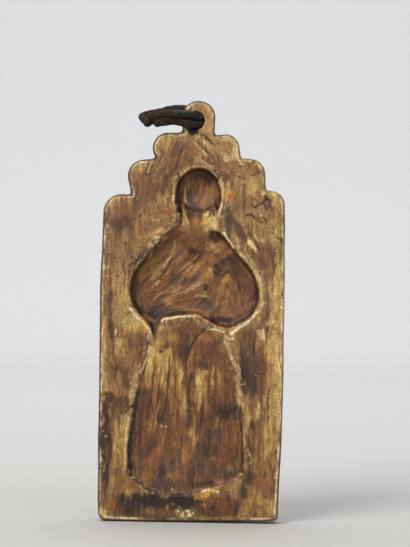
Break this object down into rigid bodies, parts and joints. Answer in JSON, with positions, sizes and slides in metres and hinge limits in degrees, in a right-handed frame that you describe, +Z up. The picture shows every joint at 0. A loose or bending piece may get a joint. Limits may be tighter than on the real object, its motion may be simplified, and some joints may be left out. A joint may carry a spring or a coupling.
{
  "type": "ceramic wall plaque",
  "caption": "Tall glazed ceramic wall plaque with a stepped scalloped top, a pierced hanging lug with a cord, and a blank figure sunk into the front.",
  "frame": {"origin": "on the hanging hole's axis, in the plane of the flat back", "axes": "+Z up the plaque as it hangs, -Y out of its carved front, +X to the right seen from the front"},
  "size_m": [0.1498, 0.0359, 0.3416],
  "materials": {
    "glaze": "satin mottled ochre and brown glaze, worn cream at the arrises",
    "cord": "dark twisted cord, greasy and stiff with age"
  },
  "bodies": {
    "root": {"plaque": "glaze", "hanging_cord": "cord"}
  },
  "joints": []
}
